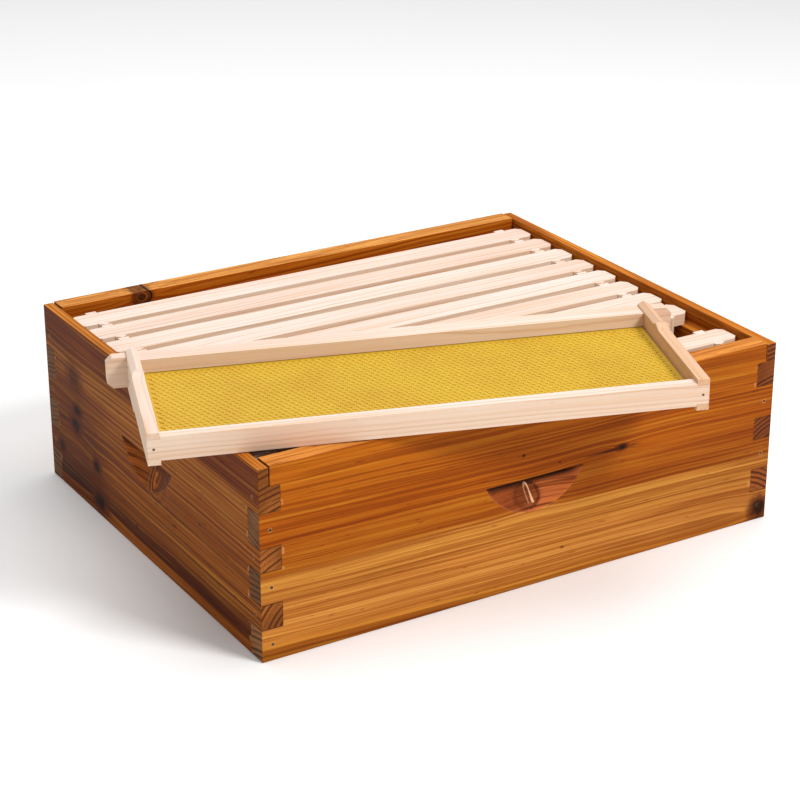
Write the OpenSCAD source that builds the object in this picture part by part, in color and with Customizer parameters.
// A ten-frame medium hive box. Four boards are finger-jointed and nailed at the corners. Nine
// frames hang in it on their lugs, and the tenth lies on its side across the box's rim.
// Millimetres. X runs along the side boards, Y to the back and Z up. The origin is the centre
// of the box's bottom opening.

/* [Box] */
// Outer length, along the side boards
box_l = 505; // [500:1:512]
// Outer width, along the end boards
box_w = 413; // [411:1:420]
// Height of the side boards
side_h = 168; // [168:0.5:172]
// Height of the end boards, which have shrunk a little
end_h = 167; // [166.5:0.5:168]
// Thickness of all four boards
board_t = 19; // [18:0.5:20]
// Heights at which the corner fingers change from one board to the other
finger_cuts = [28.3, 50, 78.6, 99, 129]; // [20:0.1:140]
// Clearance between fingers
joint_gap = 0.1; // [0.05:0.05:0.3]

/* [Frame rests] */
// Height of the ledge that carries the frames' lugs
rest_z = 151.1; // [150:0.1:153]
// Thickness of the wall left outside the ledge
rest_wall = 9.4; // [8:0.1:10]
// Gap between a side board's tongue and that wall
tongue_gap = 0.8; // [0.3:0.1:1.5]

/* [Handholds] */
// Radius of a handhold's outline
hold_r = 53.5; // [48:0.5:56]
// Height of its straight top edge
hold_z = 100; // [95:1:110]
// Distance from that edge down to the lowest point of its outline
hold_drop = 32; // [28:1:34]
// Greatest depth, under the straight edge
hold_depth = 12; // [8:0.5:13]
// How far the side boards' handholds stand off centre
side_hold_shift = 3.5; // [-5:0.5:5]
// How far the end boards' handholds stand off centre
end_hold_shift = -2.5; // [-5:0.5:5]

/* [Corner nails] */
// Radius of a nail's shank
nail_r = 1.5; // [1:0.1:2]
// Radius of its head
nail_head_r = 2.9; // [2.4:0.1:3.4]
// Length under the head
nail_l = 44; // [35:1:50]

/* [Frame] */
// Length of a top bar over its lugs
bar_l = 482.6; // [478:0.2:484]
// Width of a top bar
bar_w = 26.6; // [25:0.2:28]
// Depth of a top bar between the end bars
bar_t = 18.5; // [16:0.5:20]
// Thickness of a lug
lug_t = 10.5; // [9:0.5:11]
// How far a lug's corner is cut back, along and across the bar
lug_chamfer = [4.8, 5.3]; // [3:0.1:7]
// Width of the neck that an end bar's prongs hold
neck_w = 20; // [18:0.5:22]
// Length of a frame over its end bars
frame_l = 448.8; // [444:0.2:450]
// Height of a frame
frame_h = 159.6; // [158:0.2:160]
// Thickness of an end bar
end_t = 10.3; // [9:0.1:11]
// Width of an end bar's shoulder, which spaces the frames
shoulder_w = 35; // [34:0.1:35.2]
// Length of the shoulder
shoulder_l = 50; // [45:1:60]
// Width of an end bar below its shoulder
foot_w = 27.4; // [25:0.2:29]
// How deep the shoulder's front edge is cut to a ridge
ridge_d = 3.2; // [2:0.1:4]
// Width of a bottom bar
low_w = 19.9; // [18:0.1:22]
// Width of its tenon
low_tenon_w = 16.5; // [14:0.1:18]
// Thickness of a bottom bar
low_t = 10.6; // [9:0.1:11]

/* [Foundation] */
// Thickness of a foundation sheet's plain edge
sheet_t = 2; // [1.5:0.1:2.4]
// Thickness over its cell walls
cells_t = 3.6; // [3:0.1:5]
// Width of the plain edge that shows round the cells
sheet_margin = 2.5; // [1.5:0.5:5]
// Width of the grooves that hold it
groove_w = 3.2; // [2.6:0.1:4]

/* [Layout] */
// Distance from one frame to the next
pitch = 35.4; // [35.3:0.1:36]
// Where the rearmost frame hangs, measured back from the box's centre
first_y = 162; // [158:1:166]
// Slot whose frame has been taken out
empty_slot = 9; // [9]
// Where the loose frame's top bar lies: the middle of its upper face
loose_at = [-52.7, -72.2, 184]; // [-80:0.1:190]
// How the loose frame lies: tilts about X and Y, then its turn about Z
loose_turn = [1.48, -0.88, -19.12]; // [-20:0.01:2]
// Radius of a frame nail
brad_r = 0.7; // [0.5:0.1:0.9]

/* [Hidden] */
eps = 1;
FRAMES = 10;
PIECES = ["top_bar", "end_bar_left", "end_bar_right", "bottom_bar", "foundation"];
BOX_NODES = ["side_board_front", "side_board_back", "end_board_left", "end_board_right", "corner_nails"];
function frame_name(i) = i == empty_slot ? "loose_frame" : str("frame_", i);

side_fingers = [[0, finger_cuts[0]], [finger_cuts[1], finger_cuts[2]], [finger_cuts[3], finger_cuts[4]]];
end_fingers = [[finger_cuts[0], finger_cuts[1]], [finger_cuts[2], finger_cuts[3]], [finger_cuts[4], end_h]];
inner_l = box_l - 2 * board_t;
inner_w = box_w - 2 * board_t;
tongue_l = box_l - 2 * (rest_wall + tongue_gap);
// A handhold is part of a sphere whose circle on the board's face has radius hold_r
hold_cz = hold_z - hold_drop + hold_r;
hold_off = ((hold_r * hold_r - pow(hold_cz - hold_z, 2)) - hold_depth * hold_depth) / (2 * hold_depth);
hold_sphere_r = sqrt(hold_off * hold_off + hold_r * hold_r);
nail_gap = 0.03;
nail_head_t = 1.2;
frame_in_l = frame_l - 2 * end_t;
frame_in_h = frame_h - bar_t - low_t;
fit = 0.1;
groove_d = 5;
low_groove_d = 3.5;
sheet_end_gap = 1;
ridge_end = 6;
taper_l = 8;
bar_top_z = rest_z + lug_t + 0.02;
brad_l = 24;
brad_head_r = 1.1;
brad_head_t = 0.6;

BROWN = [0.42, 0.22, 0.11];
ORANGE = [0.72, 0.42, 0.15];
PINE = [0.93, 0.82, 0.66];
YELLOW = [0.91, 0.72, 0.2];
STEEL = [0.62, 0.6, 0.57];

// ---- Corner nails ----

module nail(extra = 0) {
    cylinder(h = nail_l, r = nail_r + extra, $fn = 32);
    cylinder(h = nail_head_t + extra, r = nail_head_r + extra, $fn = 32);
}

// Nails through the side boards' fingers, driven along Y, and through the end boards', along X
module all_corner_nails(extra = 0) {
    for (sx = [-1, 1], sy = [-1, 1]) {
        for (f = side_fingers)
            translate([sx * (box_l - board_t) / 2, sy * box_w / 2, (f[0] + f[1]) / 2])
                rotate([sy * 90, 0, 0]) nail(extra);
        for (f = end_fingers)
            translate([sx * box_l / 2, sy * (box_w - board_t - 1.5) / 2, (f[0] + min(f[1], rest_z)) / 2])
                rotate([0, -sx * 90, 0]) nail(extra);
    }
}

module corner_nails() {
    color(STEEL) all_corner_nails();
}

// ---- Boards ----

// A scoop with a straight top edge, for a board whose outer face is on y = 0 with the wood behind
module handhold() {
    intersection() {
        translate([0, -hold_off, hold_cz]) sphere(r = hold_sphere_r, $fn = 128);
        translate([-hold_r, -board_t, hold_cz - 2 * hold_r]) cube([2 * hold_r, 2 * board_t, hold_z - hold_cz + 2 * hold_r]);
    }
}

// The front board; the back board is the same, turned half round
module side_board(shift) {
    difference() {
        translate([0, -box_w / 2, 0]) union() {
            translate([-inner_l / 2, 0, 0]) cube([inner_l, board_t, side_h]);
            for (f = side_fingers)
                translate([-box_l / 2, 0, f[0] + (f[0] > 0 ? joint_gap : 0)])
                    cube([box_l, board_t, f[1] - f[0] - (f[0] > 0 ? 2 : 1) * joint_gap]);
            translate([-tongue_l / 2, 0, rest_z + joint_gap])
                cube([tongue_l, board_t, side_h - rest_z - joint_gap]);
        }
        translate([shift, -box_w / 2, 0]) handhold();
        all_corner_nails(nail_gap);
    }
}

module side_board_front() {
    color(ORANGE) side_board(side_hold_shift);
}

module side_board_back() {
    color(ORANGE) rotate([0, 0, 180]) side_board(-side_hold_shift);
}

// The left board, with its ledge for the lugs; the right board is its mirror image
module end_board(shift) {
    in = board_t + joint_gap;
    difference() {
        translate([-box_l / 2, -box_w / 2, 0]) union() {
            translate([0, in, 0]) cube([board_t - joint_gap, box_w - 2 * in, end_h]);
            for (f = end_fingers)
                translate([0, 0, f[0]]) cube([board_t - joint_gap, box_w, f[1] - f[0]]);
        }
        translate([-box_l / 2 + rest_wall, -box_w / 2 - eps, rest_z])
            cube([board_t, box_w + 2 * eps, end_h]);
        translate([-box_l / 2, shift, 0]) rotate([0, 0, -90]) handhold();
        all_corner_nails(nail_gap);
    }
}

module end_board_left() {
    color(BROWN) end_board(end_hold_shift);
}

module end_board_right() {
    color(ORANGE) mirror([1, 0, 0]) end_board(end_hold_shift);
}

// ---- One frame: the origin is the middle of the top bar's upper face ----

// Half of the lugs' plan outline, from the left tip to the right tip, on one side of the bar
function lug_side(s) = [
    [-s * bar_l / 2, -s * (bar_w / 2 - lug_chamfer[1])],
    [-s * (bar_l / 2 - lug_chamfer[0]), -s * bar_w / 2],
    [s * (bar_l / 2 - lug_chamfer[0]), -s * bar_w / 2],
    [s * bar_l / 2, -s * (bar_w / 2 - lug_chamfer[1])]];

module top_bar() {
    notch_l = end_t + 2 * fit;
    color(PINE) difference() {
        union() {
            translate([-frame_in_l / 2 + fit, -bar_w / 2, -bar_t]) cube([frame_in_l - 2 * fit, bar_w, bar_t]);
            translate([0, 0, -lug_t]) linear_extrude(lug_t) polygon(concat(lug_side(1), lug_side(-1)));
        }
        for (sx = [-1, 1], sy = [-1, 1])
            translate([sx * (frame_l - end_t) / 2 - notch_l / 2, sy * (neck_w / 2 + bar_w / 2) - bar_w / 2, -lug_t - eps])
                cube([notch_l, bar_w, lug_t + 2 * eps]);
        translate([-frame_in_l / 2 - eps, -groove_w / 2, -bar_t - eps])
            cube([frame_in_l + 2 * eps, groove_w, groove_d + eps]);
        frame_nails(nail_gap);
    }
}

// The left end bar: a shoulder with a ridged front edge, slotted at the top and the bottom
module end_bar() {
    half = shoulder_w / 2;
    difference() {
        translate([-frame_l / 2, 0, 0]) rotate([90, 0, 90]) linear_extrude(end_t) polygon([
            [-half, 0], [-half, -shoulder_l], [-foot_w / 2, -shoulder_l - taper_l], [-foot_w / 2, -frame_h],
            [foot_w / 2, -frame_h], [foot_w / 2, -shoulder_l - taper_l], [half, -shoulder_l], [half, 0]]);
        translate([-frame_l / 2, -half, -shoulder_l + ridge_end]) for (side = [0, 1])
            translate([side * end_t, 0, 0]) mirror([side, 0, 0]) linear_extrude(shoulder_l)
                polygon([[-eps, -eps], [end_t / 2, -eps], [end_t / 2, 0], [0, ridge_d], [-eps, ridge_d]]);
        translate([-frame_l / 2 - eps, -neck_w / 2 - fit, -lug_t - fit])
            cube([end_t + 2 * eps, neck_w + 2 * fit, lug_t + eps]);
        translate([-frame_l / 2 - eps, -low_tenon_w / 2 - fit, -frame_h - eps])
            cube([end_t + 2 * eps, low_tenon_w + 2 * fit, low_t + fit + eps]);
        frame_nails(nail_gap);
    }
}

module end_bar_left() {
    color(PINE) end_bar();
}

module end_bar_right() {
    color(PINE) mirror([1, 0, 0]) end_bar();
}

module bottom_bar() {
    color(PINE) difference() {
        translate([0, 0, -frame_h]) union() {
            translate([-frame_in_l / 2 + fit, -low_w / 2, 0]) cube([frame_in_l - 2 * fit, low_w, low_t]);
            translate([-frame_l / 2, -low_tenon_w / 2, 0]) cube([frame_l, low_tenon_w, low_t]);
        }
        translate([-frame_in_l / 2 + fit, -groove_w / 2, -frame_h + low_t - low_groove_d])
            cube([frame_in_l - 2 * fit, groove_w, low_groove_d + eps]);
        frame_nails(nail_gap);
    }
}

module foundation() {
    edge_h = frame_in_h + groove_d + low_groove_d - 2;
    edge_l = frame_in_l - 2 * sheet_end_gap;
    low_z = -frame_h + low_t;
    color(YELLOW) union() {
        translate([-edge_l / 2, -sheet_t / 2, low_z - low_groove_d + 1]) cube([edge_l, sheet_t, edge_h]);
        translate([-edge_l / 2 + sheet_margin, -cells_t / 2, low_z + sheet_margin])
            cube([edge_l - 2 * sheet_margin, cells_t, frame_in_h - 2 * sheet_margin]);
    }
}

module brad(extra) {
    cylinder(h = brad_l, r = brad_r + extra, $fn = 24);
    cylinder(h = brad_head_t + extra, r = brad_head_r + extra, $fn = 24);
}

// Two nails through each end bar into the top bar, and one up through each bottom bar tenon
module frame_nails(extra = 0) {
    for (sx = [-1, 1]) {
        for (sy = [-1, 1])
            translate([sx * frame_l / 2, sy * 6.5, -(lug_t + bar_t) / 2]) rotate([0, -sx * 90, 0]) brad(extra);
        translate([sx * (frame_l - end_t) / 2, 0, -frame_h]) brad(extra);
    }
}

// ---- Placing ----

module hang(i) {
    translate([0, first_y - pitch * (i - 1), bar_top_z]) children();
}

module lie_loose() {
    translate(loose_at) rotate(loose_turn) rotate([-90, 0, 0]) children();
}

module place_frame(i) {
    if (i == empty_slot) lie_loose() children();
    else hang(i) children();
}

module frame_piece(name) {
    if (name == "top_bar") top_bar();
    if (name == "end_bar_left") end_bar_left();
    if (name == "end_bar_right") end_bar_right();
    if (name == "bottom_bar") bottom_bar();
    if (name == "foundation") foundation();
}

module loose_frame_nails() {
    color(STEEL) lie_loose() frame_nails();
}

side_board_front();
side_board_back();
end_board_left();
end_board_right();
corner_nails();
loose_frame_nails();
for (i = [1 : FRAMES], p = PIECES)
    place_frame(i) frame_piece(p);
